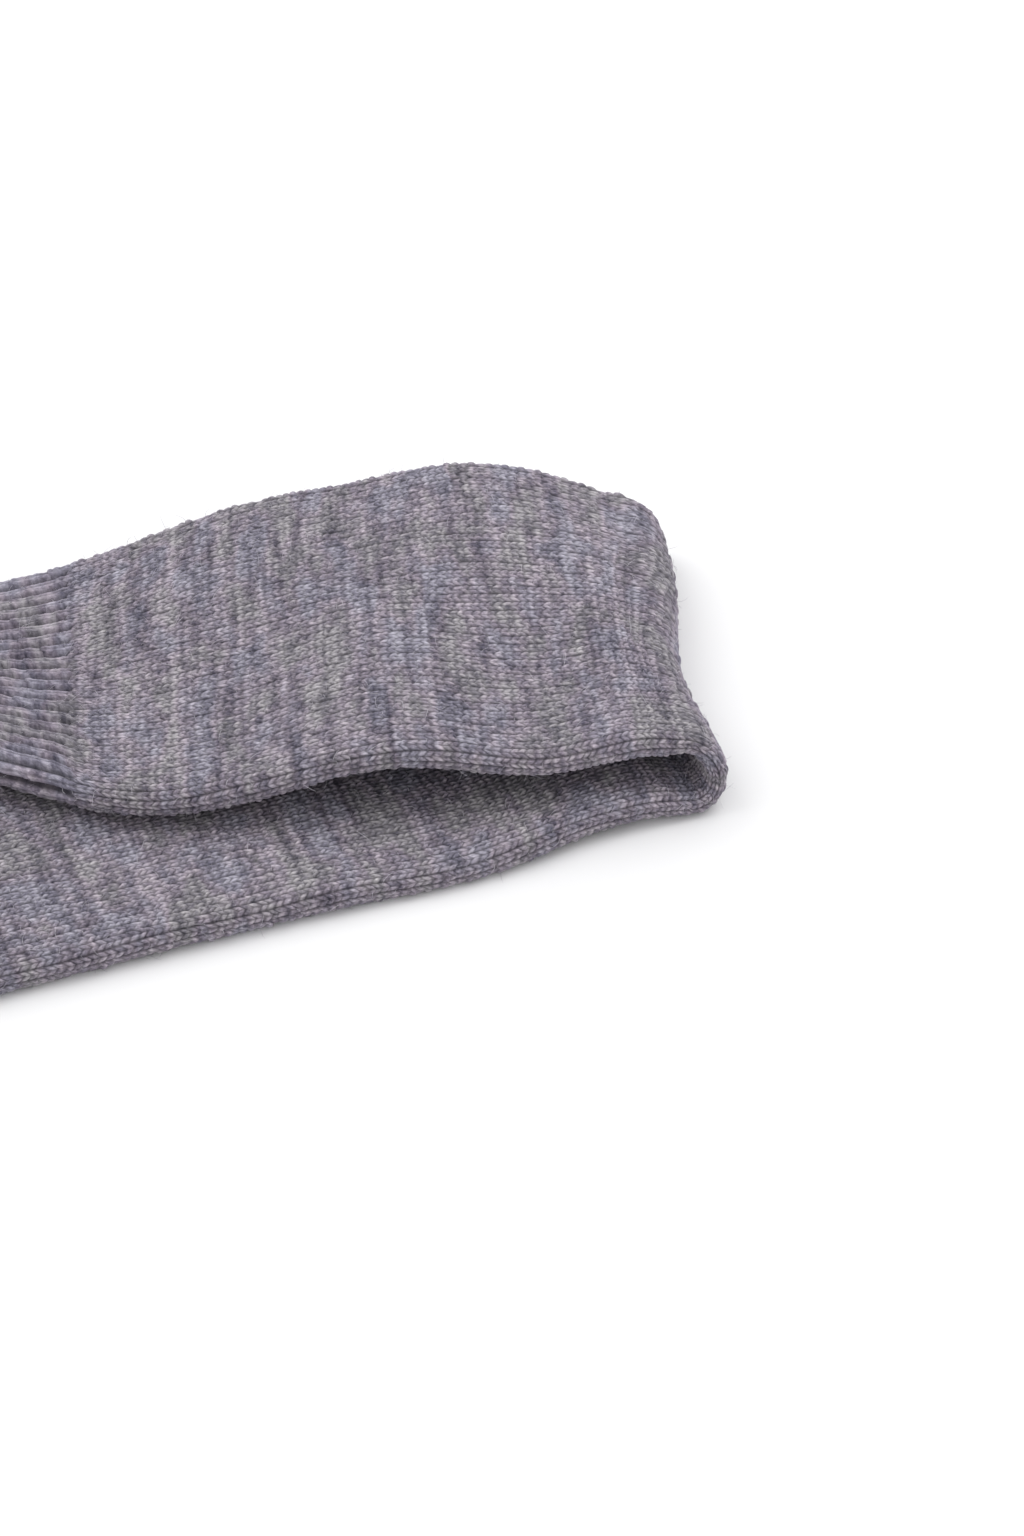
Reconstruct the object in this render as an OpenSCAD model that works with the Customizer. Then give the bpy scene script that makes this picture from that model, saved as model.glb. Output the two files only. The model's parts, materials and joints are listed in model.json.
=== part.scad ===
// Long knitted glove, palm up, with its arm tube folded once over itself.
// The lower stretch of the arm lies along X on z = 0, the hand points to -X, and the
// upper stretch comes back over it at an angle. Every section is a flattened knitted tube.

/* [Knit] */
// Thickness of the flattened tube, both walls and the space between them
flat_t = 6.8; // [6.6:0.1:10]
// Thickness of one wall of plain knit
knit_wall = 1.2; // [0.8:0.1:1.2]

/* [Arm] */
// Flat width of the arm tube
arm_w = 88; // [75:1:120]
// Length of the lower stretch that lies flat, from the fold to the wrist narrowing
lower_len = 156; // [148:1:220]
// Length of the upper stretch at full width, from the fold
upper_len = 83; // [60:1:90]
// Length over which the upper stretch narrows to the cuff
taper_len = 39; // [30:1:52]

/* [Fold] */
// Radius of the fold, at the middle of the flattened tube
fold_r = 6.4; // [5.6:0.1:10]
// Angle between the two stretches, seen from above
fold_angle = 15; // [8:1:30]

/* [Cuff] */
// Flat width of the ribbed cuff
cuff_w = 66; // [56:1:84]
// Length of the ribbed cuff
cuff_len = 48; // [25:1:54]
// Thickness of one wall of rib
rib_wall = 1.6; // [1.4:0.1:1.8]
// Number of elastic rounds inside the rib
elastic_count = 6; // [2:1:10]
// Thickness of the elastic yarn
elastic_d = 0.7; // [0.4:0.1:0.9]

/* [Hand] */
// Flat width at the wrist
wrist_w = 74; // [62:1:86]
// Length of the narrowing from the arm to the wrist
wrist_len = 30; // [20:1:60]
// Length from the wrist to the roots of the fingers
palm_len = 100; // [84:1:125]

/* [Digits] */
// Flat width of the index, middle and ring fingers
finger_w = 22; // [17:0.5:28]
// Flat width of the little finger
little_w = 19; // [15:0.5:24]
// Flat width of the thumb
thumb_w = 24; // [19:0.5:29]
// Length of the index finger
index_len = 72; // [55:1:90]
// Length of the middle finger
middle_len = 80; // [60:1:96]
// Length of the ring finger
ring_len = 74; // [56:1:90]
// Length of the little finger
little_len = 58; // [44:1:72]
// Length of the thumb beyond its gusset
thumb_len = 56; // [42:1:70]
// Angle between the thumb and the hand
thumb_angle = 36; // [25:1:45]

/* [Hidden] */

body_gap = 0.3;       // space between knit sections that move apart
finger_gap = 1;       // space between neighbouring fingers at their roots
fit_gap = 0.05;       // space round an elastic yarn in its groove
disc_h = 0.5;         // thickness of the discs that a hull is drawn over
cut_size = 600;       // larger than the whole glove
round_fn = 24;
knit_grey = [0.53, 0.51, 0.55];

fold_x = lower_len / 2;                 // where the lower stretch starts to turn up
wrist_x = -lower_len / 2;               // where the lower stretch starts to narrow
hand_x = wrist_x - wrist_len - body_gap; // root of the hand
lower_mid = flat_t / 2;                 // middle height of the lower stretch
upper_mid = lower_mid + 2 * fold_r;     // middle height of the upper stretch
lean = fold_angle / 2;                  // lean of the fold line from square
cuff_t = flat_t + 2 * (rib_wall - knit_wall); // keeps the tube's inner height

// The upper stretch starts where the fold has turned through a half circle.
turn_len = PI * fold_r;
upper_shift = turn_len * tan(lean);     // travel along the fold line during the turn
upper_x = fold_x + upper_shift * sin(lean);
upper_y = upper_shift * cos(lean);

finger_widths = [finger_w, finger_w, finger_w, little_w];
finger_lens = [index_len, middle_len, ring_len, little_len];
finger_fans = [6, 1.5, -3, -8];         // spread of the fingers from straight
palm_w = 3 * finger_w + little_w + 3 * finger_gap;

// Distance across the palm from its thumb side to the middle of a finger
function finger_y(i) = palm_w / 2 - i * (finger_w + finger_gap) - finger_widths[i] / 2;
function root_x(i) = hand_x - palm_len - body_gap
    - finger_widths[i] / 2 * sin(abs(finger_fans[i]));

// The thumb leaves the palm's side a little past half way to the fingers.
crotch_along = 0.66 * palm_len;
crotch_y = wrist_w / 2 + (palm_w - wrist_w) / 2 * crotch_along / palm_len;
crotch_gap = 3;
gusset_start = 8;     // distance from the wrist to the start of the gusset
gusset_thin = 0.6;    // how much thinner the gusset is than the palm, to meet it inside its edge
thumb_x = hand_x - crotch_along + thumb_w / 2 * sin(thumb_angle);
thumb_y = crotch_y + crotch_gap + thumb_w / 2 * cos(thumb_angle);

// Flat oval across Y and Z, drawn out along +X
module flat_tube(w, t, length) {
    rotate([90, 0, 90]) linear_extrude(height = length) flat_oval(w, t);
}

// A rectangle with round ends, w wide and t thick
module flat_oval(w, t) {
    square([w - t, t], center = true);
    for (side = [-1, 1]) translate([side * (w - t) / 2, 0]) circle(d = t, $fn = 48);
}

// One smooth closed form through stations of [distance along -X, width, thickness].
// Each station is two discs, kept inside the length from the first to the last station.
module station_hull(stations) {
    last = len(stations) - 1;
    hull() for (i = [0:last], side = [-1, 1]) let (s = stations[i])
        translate([-s[0] - disc_h * (1 - i / last), side * (s[1] - s[2]) / 2, 0])
            rotate([0, 90, 0]) cylinder(d = s[2], h = disc_h, $fn = round_fn);
}

// Places the upper stretch: local -X runs along it, from the end of the fold
module upper_frame() {
    translate([upper_x, upper_y, upper_mid]) rotate([0, 0, -fold_angle]) children();
}

// A stretch of the arm at full width, open at both ends
module arm_tube(length) {
    difference() {
        flat_tube(arm_w, flat_t, length);
        translate([-1, 0, 0])
            flat_tube(arm_w - 2 * knit_wall, flat_t - 2 * knit_wall, length + 2);
    }
}

module cuff_rib() {
    start = upper_len + taper_len;
    color(knit_grey) upper_frame() difference() {
        translate([-start - cuff_len, 0, 0]) flat_tube(cuff_w, cuff_t, cuff_len);
        translate([-start - cuff_len - 1, 0, 0])
            flat_tube(cuff_w - 2 * rib_wall, cuff_t - 2 * rib_wall, cuff_len + 2);
        elastic_rounds(fit_gap);
    }
}

module cuff_elastic() {
    color([0.82, 0.81, 0.78]) upper_frame() elastic_rounds(0);
}

// Rounds of elastic yarn let into the inside of the rib
module elastic_rounds(clear) {
    pitch = cuff_len / (elastic_count + 1);
    inner_w = cuff_w - 2 * rib_wall;
    inner_t = cuff_t - 2 * rib_wall;
    for (i = [1:elastic_count])
        translate([-upper_len - taper_len - i * pitch - elastic_d / 2 - clear, 0, 0])
            difference() {
                flat_tube(inner_w + 2 * elastic_d + 2 * clear, inner_t + 2 * elastic_d + 2 * clear,
                          elastic_d + 2 * clear);
                translate([-1, 0, 0]) flat_tube(inner_w, inner_t, elastic_d + 2);
            }
}

module arm_taper() {
    stations = [[upper_len, arm_w, flat_t], [upper_len + taper_len, cuff_w, flat_t]];
    bore = [[upper_len - 1, arm_w - 2 * knit_wall, flat_t - 2 * knit_wall],
            [upper_len + taper_len + 1, cuff_w - 2 * knit_wall, flat_t - 2 * knit_wall]];
    color(knit_grey) upper_frame() difference() {
        station_hull(stations);
        station_hull(bore);
    }
}

module arm_upper() {
    reach = arm_w; // the slanted end is cut from a tube that runs on this far
    color(knit_grey) difference() {
        upper_frame() translate([-upper_len, 0, 0]) arm_tube(upper_len + reach);
        translate([upper_x, upper_y, 0]) rotate([0, 0, -lean])
            translate([-body_gap / 2, -cut_size / 2, -cut_size / 2])
                cube([cut_size, cut_size, cut_size]);
    }
}

module arm_lower() {
    reach = arm_w;
    color(knit_grey) difference() {
        translate([wrist_x, 0, lower_mid]) arm_tube(lower_len + reach);
        translate([fold_x, 0, 0]) rotate([0, 0, -lean])
            translate([-body_gap / 2, -cut_size / 2, -cut_size / 2])
                cube([cut_size, cut_size, cut_size]);
    }
}

// Points of a flat oval, [across, out], going round once
function oval_points(w, t, n) = [
    for (side = [1, -1], k = [0:n])
        let (a = (side > 0 ? -90 : 90) + 180 * k / n)
            [side * (w - t) / 2 + t / 2 * cos(a), t / 2 * sin(a)]];

// A point of the fold: turned by a, off the middle of the tube by p = [across, out]
function fold_point(a, p) = let (
    along = a / 180 * turn_len * tan(lean) + p[0] / cos(lean),
    radius = fold_r + p[1])
    [fold_x + along * sin(lean) + radius * sin(a) * cos(lean),
     along * cos(lean) - radius * sin(a) * sin(lean),
     lower_mid + fold_r - radius * cos(a)];

// The turned stretch: a hollow flat oval led round a half circle, square to the fold line
module arm_fold() {
    steps = 18;
    n = 8;
    m = 2 * (n + 1);
    outer = oval_points(arm_w, flat_t, n);
    inner = oval_points(arm_w - 2 * knit_wall, flat_t - 2 * knit_wall, n);
    points = [for (k = [0:steps], ring = [outer, inner], p = ring) fold_point(180 * k / steps, p)];
    skin = [for (k = [0:steps - 1], i = [0:m - 1]) let (a = 2 * m * k, j = (i + 1) % m)
        [a + i, a + j, a + 2 * m + j, a + 2 * m + i]];
    lining = [for (k = [0:steps - 1], i = [0:m - 1]) let (a = 2 * m * k + m, j = (i + 1) % m)
        [a + i, a + 2 * m + i, a + 2 * m + j, a + j]];
    last = 2 * m * steps;
    start_rim = [for (i = [0:m - 1]) let (j = (i + 1) % m) [i, m + i, m + j, j]];
    end_rim = [for (i = [0:m - 1]) let (j = (i + 1) % m)
        [last + i, last + j, last + m + j, last + m + i]];
    color(knit_grey) polyhedron(points, concat(skin, lining, start_rim, end_rim), convexity = 8);
}

module wrist_section() {
    bore = [[-1, arm_w - 2 * knit_wall, flat_t - 2 * knit_wall],
            [wrist_len + 1, wrist_w - 2 * knit_wall, flat_t - 2 * knit_wall]];
    color(knit_grey) translate([wrist_x, 0, lower_mid]) difference() {
        station_hull([[0, arm_w, flat_t], [wrist_len, wrist_w, flat_t]]);
        station_hull(bore);
    }
}

module palm_form(wall, lead) {
    t = flat_t - 2 * wall;
    translate([hand_x, 0, lower_mid])
        station_hull([[-lead, wrist_w - 2 * wall, t], [palm_len + lead, palm_w - 2 * wall, t]]);
}

// The wedge between palm and thumb, with the thumb's root as its square end
module gusset_form(wall, lead) {
    t = flat_t - gusset_thin - 2 * wall;
    hull() {
        for (x = [hand_x - gusset_start, hand_x - crotch_along - wall / 2])
            translate([x, wrist_w / 2 - flat_t / 2, lower_mid]) sphere(d = t, $fn = round_fn);
        translate([thumb_x, thumb_y, lower_mid]) rotate([0, 0, -thumb_angle])
            for (side = [-1, 1]) translate([-lead, side * (thumb_w - flat_t) / 2, 0])
                rotate([0, 90, 0]) cylinder(d = t, h = disc_h, $fn = round_fn);
    }
}

module hand() {
    color(knit_grey) difference() {
        palm_form(0, 0);
        palm_form(knit_wall, 1);
        intersection() {
            gusset_form(knit_wall - gusset_thin / 2, 0);
            translate([hand_x - cut_size / 2, wrist_w / 4, 0]) cube(cut_size / 2);
        }
    }
}

module thumb_gusset() {
    color(knit_grey) difference() {
        gusset_form(0, 0);
        gusset_form(knit_wall - gusset_thin / 2, 1);
        palm_form(0, 0);
    }
}

// A flat oval bar along -X with a round tip, running on past its root by lead
module digit_form(w, t, length, lead) {
    tip_r = 0.6 * w;
    intersection() {
        translate([-length, 0, 0]) flat_tube(w, t, length + lead);
        linear_extrude(height = 2 * flat_t, center = true) {
            translate([tip_r - length, 0]) circle(r = tip_r, $fn = 64);
            translate([tip_r - length, -w]) square([length - tip_r + lead, 2 * w]);
        }
    }
}

// A closed knitted tube along -X, open at its root
module digit_tube(w, length) {
    difference() {
        digit_form(w, flat_t, length, 0);
        digit_form(w - 2 * knit_wall, flat_t - 2 * knit_wall, length - knit_wall, 1);
    }
}

module finger(i) {
    color(knit_grey) translate([root_x(i), finger_y(i), lower_mid])
        rotate([0, 0, -finger_fans[i]]) digit_tube(finger_widths[i], finger_lens[i]);
}

module thumb() {
    color(knit_grey) translate([thumb_x, thumb_y, lower_mid]) rotate([0, 0, -thumb_angle])
        translate([-body_gap, 0, 0]) digit_tube(thumb_w, thumb_len);
}

cuff_rib();
cuff_elastic();
arm_taper();
arm_upper();
arm_fold();
arm_lower();
wrist_section();
hand();
thumb_gusset();
thumb();
finger(0);  // index_finger
finger(1);  // middle_finger
finger(2);  // ring_finger
finger(3);  // little_finger
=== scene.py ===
# %% [markdown]
# # A long knitted glove, its arm folded once over itself
# The glove is one seamless tube of fine jersey knit: a hand with its fingers, a long plain
# arm, and a ribbed cuff. It lies on a pale floor with the arm turned back over itself. The
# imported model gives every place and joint, and each knitted surface is drawn here stitch by
# stitch round the solids that it stands for.

# %% Load the frame
import bpy
import json
import math
import numpy as np
from mathutils import Matrix, Vector


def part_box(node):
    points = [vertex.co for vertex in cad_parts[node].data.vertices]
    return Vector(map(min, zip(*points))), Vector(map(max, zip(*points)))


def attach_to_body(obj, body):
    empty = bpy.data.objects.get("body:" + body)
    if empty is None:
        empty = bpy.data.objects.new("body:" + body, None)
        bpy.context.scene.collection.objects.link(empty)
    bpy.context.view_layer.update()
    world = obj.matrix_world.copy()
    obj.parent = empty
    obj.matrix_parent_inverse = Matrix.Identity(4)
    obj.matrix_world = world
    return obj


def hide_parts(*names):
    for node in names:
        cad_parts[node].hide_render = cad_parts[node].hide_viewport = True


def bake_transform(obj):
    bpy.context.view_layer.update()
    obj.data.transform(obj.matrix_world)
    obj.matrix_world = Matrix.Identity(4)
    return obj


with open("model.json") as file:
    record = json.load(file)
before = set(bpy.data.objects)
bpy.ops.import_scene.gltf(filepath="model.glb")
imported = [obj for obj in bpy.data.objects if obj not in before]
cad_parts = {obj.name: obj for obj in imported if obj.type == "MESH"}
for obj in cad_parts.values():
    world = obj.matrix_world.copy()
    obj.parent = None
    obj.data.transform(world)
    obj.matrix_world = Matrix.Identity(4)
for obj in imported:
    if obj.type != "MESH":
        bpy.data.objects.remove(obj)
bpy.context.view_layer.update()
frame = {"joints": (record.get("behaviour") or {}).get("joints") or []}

# %% [markdown]
# ## Measures
# Everything below is in millimetres, and is turned to metres when a mesh is made. The places
# come from the frame: the fold's lean from its hinge, the widths and ends from the boxes of
# the solids. The cloth is drawn a little thinner than its solid, because a plain solid leaves
# room for the walls that collide.

# %% Measures from the frame
MM = 0.001
JOINTS = {j["name"]: j for j in frame["joints"]}


def joint_mm(name):
    return np.array(JOINTS[name]["pos_m"]) / MM


def box_mm(node):
    low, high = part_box(node)
    return np.array(low) / MM, np.array(high) / MM


hinge = JOINTS["fold_lower"]["axis"]
LEAN = math.atan2(hinge[0], hinge[1])                  # lean of the fold line from square
ALONG_FOLD = np.array([math.sin(LEAN), math.cos(LEAN)])
OVER_FOLD = np.array([math.cos(LEAN), -math.sin(LEAN)])
ARM_W = 2 * box_mm("wrist_section")[1][1]
GAP = 0.15                                             # half the space left at a joint
FOLD_X = box_mm("arm_lower")[1][0] - ARM_W / 2 * math.tan(LEAN) + GAP / math.cos(LEAN)
WRIST_X = box_mm("arm_lower")[0][0]
HAND_X = joint_mm("wrist_bend")[0]
PALM_END_X = box_mm("hand")[0][0]
WRIST_W = 74.0
PALM_W = 2 * max(abs(box_mm("hand")[0][1]), ARM_W / 2)
CUFF_W = 66.0
CUFF_LEN = 48.0
CLOTH_T = 5.8                                          # two walls and the air between them
RIB_THICKER = 0.8                                      # how much more the rib takes
FLOOR_LEAST = 0.05                                     # no stitch reaches nearer to the floor
FOLD_R = 6.9                                           # middle of the tube, round the fold
TURN = math.pi * FOLD_R
TAPER_FROM = 103.0                                     # past the fold line, along the tube
NARROWING = 47.0                                       # runs on a little into the rib
CUFF_FROM = 142.0
CUFF_END = CUFF_FROM + CUFF_LEN
TUBE_START = PALM_END_X - FOLD_X - 3                   # just past the roots of the fingers
print("arm", round(ARM_W, 1), "mm, fold line x", round(FOLD_X, 1))
print("lean of the fold", round(math.degrees(LEAN), 1), "degrees")
print("wrist x", round(WRIST_X, 1), "hand x", round(HAND_X, 1), "knuckles x", round(PALM_END_X, 1))

# %% [markdown]
# ## The yarn's gauge
# A fine machine-knitted glove has about twelve wales (columns of stitches) and fifteen courses
# (rows) to the inch. One wale is drawn with six columns of vertices and one course with three
# rows, which is the fewest that still gives each leg of a stitch a round back and a groove.

# %% Gauge
WALES = 84                          # wales round the arm
COLS = 6                            # columns of vertices in a wale
ROWS = 3                            # rows of vertices in a course
WALE = 2 * ARM_W / WALES            # about 2.1 mm
COURSE = 1.65
ROW = COURSE / ROWS
V_DEPTH = 0.75                      # how far a stitch's legs reach back, in courses
RELIEF = 0.5                        # height of a leg above its groove
rng = np.random.default_rng(7)
print("wale", round(WALE, 2), "mm, course", COURSE, "mm")

# %% [markdown]
# ## How the cloth lies
# Soft cloth never lies as flat as its plan. These few stations say how much each edge of the
# upper stretch rises or sinks, and how far it is pushed aside, at distances past the fold; two
# more say how the near edge of the lower stretch lifts and draws in. A smooth curve through
# them bends the plan, which keeps the folds long and soft, as in a limp tube. The turned
# stretch has three values of its own, because a fold that was pressed lies lower at one end
# and is narrower in its middle.

# %% Smooth curves
def eased(x):
    x = np.clip(x, 0.0, 1.0)
    return x * x * (3 - 2 * x)


def through(x, stations, values):
    """A smooth curve through the values at the stations."""
    st = np.array(stations, float)
    va = np.array(values, float)
    slope = np.gradient(va, st)
    x = np.clip(x, st[0], st[-1])
    k = np.clip(np.searchsorted(st, x, side="right") - 1, 0, len(st) - 2)
    h = st[k + 1] - st[k]
    t = (x - st[k]) / h
    a = va[k] * (1 + 2 * t) * (1 - t) ** 2 + va[k + 1] * t * t * (3 - 2 * t)
    return a + h * (slope[k] * t * (1 - t) ** 2 + slope[k + 1] * t * t * (t - 1))


print("half way up a smooth curve from 0 to 8:", through(0.5, [0, 1], [0, 8]))

# %% How the edges lie
UPPER_AT = [0, 30, 60, 90, 120, 150, 180]
NEAR_RISE = [0.1, -0.7, 3.0, -1.9, -6.0, -2.5, -5.2]
FAR_RISE = [1.8, 4.6, 3.8, -0.7, -4.2, -7.4, -4.8]
NEAR_ASIDE = [3.1, -2.2, -0.7, -2.8, -6.4, 4.1, 0]
FAR_ASIDE = [-2.3, 5.0, 1.2, -0.5, -1.2, -4.2, 0]
LOWER_AT = [0, 20, 45, 80, 130, 190]
LOWER_RISE = [1.1, 1.4, 0, 0.2, 0.1, 0]
LOWER_ASIDE = [2.0, 2.2, -0.9, 0.4, 0.9, 0]
FOLD_REACH = 14                     # how far past the turn its pressing still shows
FOLD_PINCH = 0.38                   # share of its thickness that the near end loses
FOLD_DRAWN_IN = [2.9, -2.0]         # near and far end of the turned stretch
FOLD_WAIST = 3.8                    # more between them, nearer the near end
FOLD_SUNK = [2.3, 4.8]
FOLD_ASIDE = [-1.3, 0.2]
WAIST_PEAK = 27 / 4                 # brings the highest value of near * near * far to 1
print("edge stations:", len(UPPER_AT), "above and", len(LOWER_AT), "below")

# %% [markdown]
# ## From plan to place
# The tube is first thought of as straight: s runs along it from the fold line and c across it.
# Rolling that plan round a half cylinder that stands square to the fold line gives the turned
# stretch with no stretching, which is what a folded tube does.

# %% A flat section
def flat_oval(width, thick, turn):
    """Across and outward distances on a flat oval. turn runs from 0 to 1, from the far edge."""
    thick = np.maximum(np.minimum(thick, width), 1e-4)
    r = thick / 2
    flat = width - thick
    half = math.pi * r
    u = turn * 2 * (flat + half)
    a1 = u / r
    a2 = (u - half / 2 - flat) / r
    a3 = (u - 1.5 * half - 2 * flat) / r
    top = half / 2 + flat
    parts = [u < half / 2, u < top, u < top + half, u < top + half + flat]
    across = np.select(parts, [flat / 2 + r * np.cos(a1), flat / 2 - (u - half / 2),
                               -flat / 2 - r * np.sin(a2), -flat / 2 + (u - top - half)],
                       flat / 2 + r * np.sin(a3))
    out = np.select(parts, [r * np.sin(a1), r + 0 * u, r * np.cos(a2), -r + 0 * u],
                    -r * np.cos(a3))
    return across, out


across, out = flat_oval(ARM_W, CLOTH_T, np.array([0.0, 0.25, 0.5]))
print("far edge, top and near edge of the arm:", across.round(1), out.round(1))

# %% Width and thickness along the tube
DRAW_IN = 3.0                       # how much the rib pulls the knit in where it starts
WIDTH_AT = [PALM_END_X - FOLD_X, HAND_X - FOLD_X, WRIST_X - FOLD_X - 2]
WIDTHS = [PALM_W, WRIST_W, ARM_W]


def arm_width(s):
    """Flat width at s, with the corners of the plan rounded over a few stitches."""
    soft = sum(np.interp(s + step, WIDTH_AT, WIDTHS) for step in (0, -4, 4)) / 3
    slim = (ARM_W - CUFF_W - DRAW_IN) * eased((s - TAPER_FROM) / NARROWING)
    return soft - slim - DRAW_IN * eased((s - CUFF_FROM + 1) / 5)


def arm_thick(s):
    closing = np.sqrt(np.clip((s - TUBE_START) / 4, 0, 1))
    return (CLOTH_T + RIB_THICKER * eased((s - CUFF_FROM + 4) / 8)) * closing


print("flat width of arm and rib:", arm_width(np.array([60.0, CUFF_FROM + 20])).round(1))


# %% Places on the folded tube
def swell(s, c):
    """Long shallow waves that a limp cloth keeps."""
    return (0.45 * np.sin(s / 9.5 + c / 17 + 0.8) + 0.4 * np.sin(s / 15.0 - c / 12 + 2.1)
            + 0.3 * np.sin(c / 8.5 + 0.4 * np.sin(s / 21)))


def above_floor(z, least, ease=0.3):
    """The height, eased so that nothing passes below least."""
    return least + ease * np.logaddexp(0, (z - least) / ease)


def over_fold(s, c):
    return s * OVER_FOLD[0] + c * OVER_FOLD[1]


def arm_place(s, turn, inset=0.0):
    """Points of the arm, hand and cuff, and how far each is over the fold."""
    width = arm_width(s) - 2 * inset
    c, w = flat_oval(width, np.maximum(arm_thick(s) - 2 * inset, 0), turn)
    q = over_fold(s, c)
    r = s * ALONG_FOLD[0] + c * ALONG_FOLD[1]
    phi = np.clip(q / FOLD_R, 0, math.pi)
    past = np.clip(q - TURN, 0, None)
    h = np.where(q < 0, q, FOLD_R * np.sin(phi) - past)
    z = CLOTH_T / 2 + FOLD_R * (1 - np.cos(phi))
    far = eased((c / width * 2 + 1) / 2)
    near = 1 - far
    on = eased(q / TURN)
    rise = near * through(past, UPPER_AT, NEAR_RISE)
    rise = rise + far * through(past, UPPER_AT, FAR_RISE)
    aside = near * through(past, UPPER_AT, NEAR_ASIDE)
    aside = aside + far * through(past, UPPER_AT, FAR_ASIDE)
    back = np.clip(-q, 0, None)
    rise = rise * on + near * (1 - on) * through(back, LOWER_AT, LOWER_RISE)
    aside = aside * on + near * (1 - on) * through(back, LOWER_AT, LOWER_ASIDE)
    rise = rise + swell(s, c) * on * eased((past - 2) / 20)
    bent = np.clip(1 - ((q - TURN / 2) / (TURN / 2 + FOLD_REACH)) ** 2, 0, 1) ** 2
    waist = FOLD_WAIST * WAIST_PEAK * near * near * far
    h = h - bent * (near * FOLD_DRAWN_IN[0] + far * FOLD_DRAWN_IN[1] + waist)
    rise = rise - bent * (near * FOLD_SUNK[0] + far * FOLD_SUNK[1])
    aside = aside + bent * (near * FOLD_ASIDE[0] + far * FOLD_ASIDE[1])
    w = w * (1 - FOLD_PINCH * bent * near)
    h = h + w * np.sin(phi)
    z = z - w * np.cos(phi) + rise
    x = FOLD_X + ALONG_FOLD[0] * r + OVER_FOLD[0] * h
    y = ALONG_FOLD[1] * r + OVER_FOLD[1] * h + aside
    return np.stack([x, y, above_floor(z, 0.2)], -1), q


test, _ = arm_place(np.array([0.0, 60.0]), np.array([0.25, 0.25]))
print("a point at the fold and one on the upper stretch:", test.round(1).tolist())

# %% [markdown]
# ## The stitches
# On the face of jersey each stitch is a V, and the Vs of one wale nest in each other. The grid
# is sheared so that its rows run along the legs; then a low row between two high ones is the
# groove between two courses, and the columns give each leg its round back. In 1x1 rib every
# other wale shows the back of the stitch instead: a sunken column of little cross bars.

# %% Stitch relief
LEG_BACK = np.array([0.0, 0.85, 1.0, 0.35, 1.0, 0.85])      # across one wale
COURSE_BACK = np.array([0.25, 1.0, 0.85])                   # along one course
BAR_BACK = np.array([0.2, 0.7, 0.55])
SWAY = 0.2                          # how far one stitch strays along its wale, in mm
UNEVEN = 0.3                        # how much taller or lower it is than its neighbours
RIB_RIDGE = 0.7                     # how far a rib's face wale stands out
RIB_GROOVE = 1.0                    # how far its purl wale lies back
RIB_FILLED = 0.6                    # share of the course grooves that the rib's pull closes
BAR_LOW = 0.35                      # a purl bar shows this share of a leg's height
print("a leg stands", RELIEF, "mm above its groove")


# %% A grid of stitches
def stitch_grid(s_rows, wales, rib, flat, calm):
    """Sheared rows and their relief. rib, flat and calm are 1 on rib, smooth or straight rows."""
    n = len(s_rows)
    col = np.arange(wales * COLS)
    v = np.abs(2 * (col % COLS) / COLS - 1)[None, :]
    purl = ((col // COLS) % 2 == 1)[None, :] * rib[:, None]
    reach = v + (1 - v) * purl
    courses = n // ROWS + 1
    loose = rng.normal(0, 1, (courses, wales))
    spread = np.repeat(np.repeat(loose, ROWS, 0)[:n], COLS, 1)
    loose_rows = 1 - calm[:, None]
    s = s_rows[:, None] - V_DEPTH * COURSE * reach * loose_rows + SWAY * spread * loose_rows
    k = np.arange(n) % ROWS
    back = COURSE_BACK[k] + (1 - COURSE_BACK[k]) * RIB_FILLED * rib
    leg = LEG_BACK[col % COLS][None, :] * back[:, None]
    bar = (0.55 + 0.45 * (1 - v)) * BAR_BACK[k][:, None] * BAR_LOW
    relief = leg * (1 - purl) + bar * purl
    height = RELIEF * relief * (1 + UNEVEN * spread)
    ridge = RIB_RIDGE * (1 - purl) * (1 - v ** 2) - RIB_GROOVE * purl
    height = height + rib[:, None] * ridge
    legs = rng.random((courses, wales * 2))
    tone = np.repeat(np.repeat(legs, ROWS, 0)[:n], COLS // 2, 1)
    return s, height * (1 - flat[:, None]), relief, tone


FACE_SHARE = 0.77                   # what the face wale covers of a pair of rib wales


def rib_turn(wales, rib):
    """How far round each column lies. In rib the face wales spread over the sunken ones."""
    col = np.arange(wales * COLS)
    pair = (col % (2 * COLS)) / (2 * COLS)
    wide = np.where(pair < 0.5, pair * 2 * FACE_SHARE,
                    FACE_SHARE + (pair - 0.5) * 2 * (1 - FACE_SHARE))
    shift = (wide - pair) * 2 / wales
    return (col / (wales * COLS))[None, :] + shift[None, :] * rib[:, None]


print("a stitch is drawn with", COLS * ROWS, "faces")


# %% Normals
def outward(points, hand):
    """Unit normals of a grid that is closed round its second axis. hand is 1 or -1."""
    ds = np.gradient(points, axis=0)
    da = np.roll(points, -1, 1) - np.roll(points, 1, 1)
    n = hand * np.cross(da, ds)
    return n / np.maximum(np.linalg.norm(n, axis=-1, keepdims=True), 1e-9)


def smooth_normals(points, hand):
    """Normals of the finished relief, the mean of the quads round each vertex."""
    right = np.roll(points, -1, 1)
    q = hand * np.cross(points[:-1] - right[1:], right[:-1] - points[1:])
    q = q / np.maximum(np.linalg.norm(q, axis=-1, keepdims=True), 1e-12)
    n = np.zeros_like(points)
    for rolled in (q, np.roll(q, 1, 1)):
        n[:-1] += rolled
        n[1:] += rolled
    return n / np.maximum(np.linalg.norm(n, axis=-1, keepdims=True), 1e-12)


print("columns of vertices round the arm:", WALES * COLS)

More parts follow.
